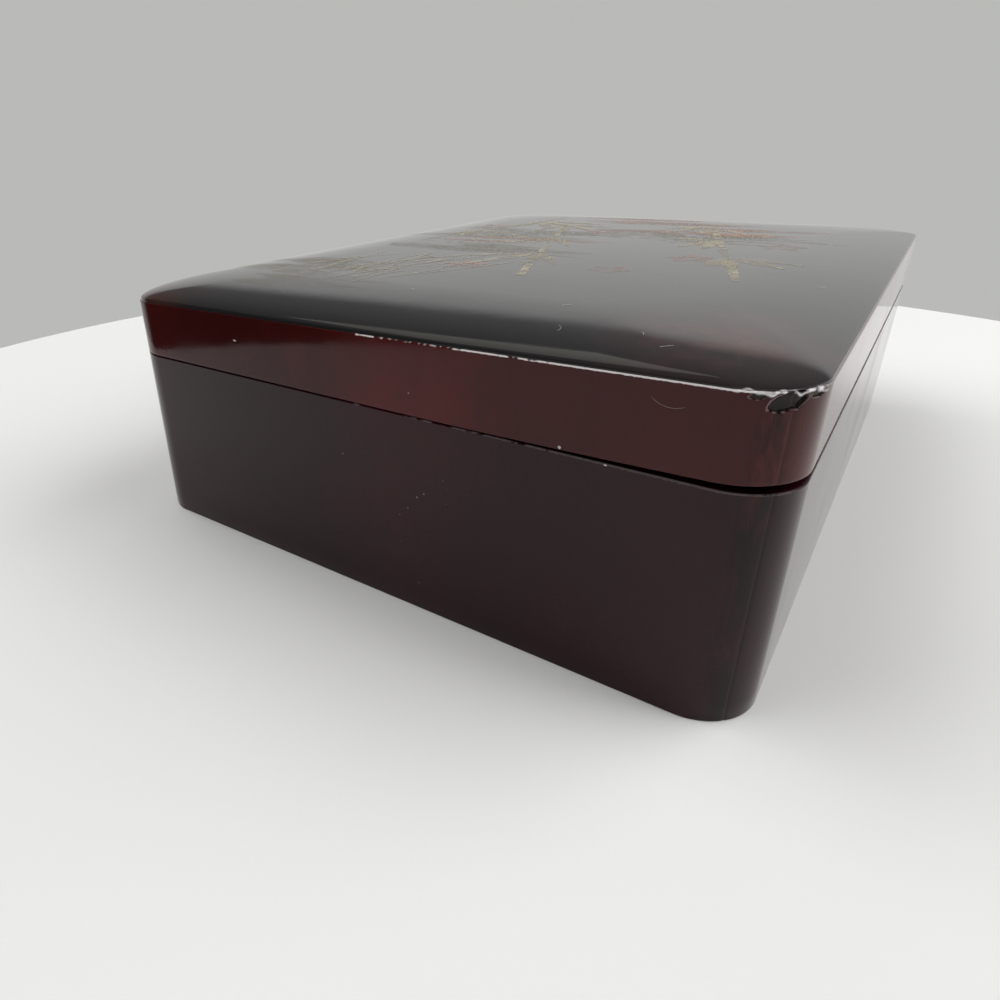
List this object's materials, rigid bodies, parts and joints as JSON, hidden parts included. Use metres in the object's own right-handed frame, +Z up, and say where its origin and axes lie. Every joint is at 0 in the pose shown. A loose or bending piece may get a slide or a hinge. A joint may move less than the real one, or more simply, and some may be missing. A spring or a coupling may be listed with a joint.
{
  "type": "game case with drawers",
  "caption": "Lacquered wooden game case with a crowned lift-off lid over a divided compartment, and drawers with turned brass knobs in one long side.",
  "frame": {"origin": "middle of the case's underside, on the plane that it stands on", "axes": "+Z up; X along the short sides, with the drawers opening towards -X; +Y along the long sides"},
  "size_m": [0.3129, 0.384, 0.12],
  "materials": {
    "red_lacquer": "gloss lacquer",
    "black_lacquer": "gloss lacquer",
    "plain_wood": "bare, sanded",
    "green_felt": "felt",
    "brass": "aged, polished by use"
  },
  "bodies": {
    "case": {"base_board": "plain_wood", "case_front_wall": "red_lacquer", "case_back_wall": "red_lacquer", "case_right_wall": "red_lacquer", "drawer_side_front_stile": "red_lacquer", "drawer_side_back_stile": "red_lacquer", "drawer_side_centre_stile": "red_lacquer", "drawer_side_bottom_rail": "red_lacquer", "drawer_side_middle_rail": "red_lacquer", "drawer_side_top_rail": "red_lacquer", "front_lip": "black_lacquer", "back_lip": "black_lacquer", "right_lip": "black_lacquer", "left_lip": "black_lacquer", "centre_partition": "plain_wood", "near_dust_board": "plain_wood", "far_dust_board": "plain_wood", "compartment_floor": "black_lacquer", "lower_near_guide": "plain_wood", "lower_far_guide": "plain_wood", "upper_near_guide": "plain_wood", "upper_far_guide": "plain_wood", "drawer_stops": "plain_wood", "counter_long_divider": "black_lacquer", "counter_cross_divider_1": "black_lacquer", "counter_cross_divider_2": "black_lacquer"},
    "lid": {"lid_top_panel": "black_lacquer", "lid_front_wall": "red_lacquer", "lid_back_wall": "red_lacquer", "lid_right_wall": "red_lacquer", "lid_left_wall": "red_lacquer"},
    "lower_near_drawer": {"lower_near_drawer_front": "red_lacquer", "lower_near_drawer_left_side": "plain_wood", "lower_near_drawer_right_side": "plain_wood", "lower_near_drawer_back": "plain_wood", "lower_near_drawer_bottom": "plain_wood", "lower_near_drawer_lining": "green_felt", "lower_near_drawer_knob": "brass"},
    "lower_far_drawer": {"lower_far_drawer_front": "red_lacquer", "lower_far_drawer_left_side": "plain_wood", "lower_far_drawer_right_side": "plain_wood", "lower_far_drawer_back": "plain_wood", "lower_far_drawer_bottom": "plain_wood", "lower_far_drawer_lining": "green_felt", "lower_far_drawer_knob": "brass"},
    "upper_near_drawer": {"upper_near_drawer_front": "red_lacquer", "upper_near_drawer_left_side": "plain_wood", "upper_near_drawer_right_side": "plain_wood", "upper_near_drawer_back": "plain_wood", "upper_near_drawer_bottom": "plain_wood", "upper_near_drawer_lining": "green_felt", "upper_near_drawer_knob": "brass"},
    "upper_far_drawer": {"upper_far_drawer_front": "red_lacquer", "upper_far_drawer_left_side": "plain_wood", "upper_far_drawer_right_side": "plain_wood", "upper_far_drawer_back": "plain_wood", "upper_far_drawer_bottom": "plain_wood", "upper_far_drawer_lining": "green_felt", "upper_far_drawer_knob": "brass"}
  },
  "joints": [
    {"name": "lid_lift", "type": "slide", "parent": "case", "child": "lid", "axis": [0, 0, 1], "range_m": [0, 0.15]},
    {"name": "lower_near_drawer_slide", "type": "slide", "parent": "case", "child": "lower_near_drawer", "axis": [-1, 0, 0], "range_m": [0, 0.2]},
    {"name": "lower_far_drawer_slide", "type": "slide", "parent": "case", "child": "lower_far_drawer", "axis": [-1, 0, 0], "range_m": [0, 0.2]},
    {"name": "upper_near_drawer_slide", "type": "slide", "parent": "case", "child": "upper_near_drawer", "axis": [-1, 0, 0], "range_m": [0, 0.2]},
    {"name": "upper_far_drawer_slide", "type": "slide", "parent": "case", "child": "upper_far_drawer", "axis": [-1, 0, 0], "range_m": [0, 0.2]}
  ]
}
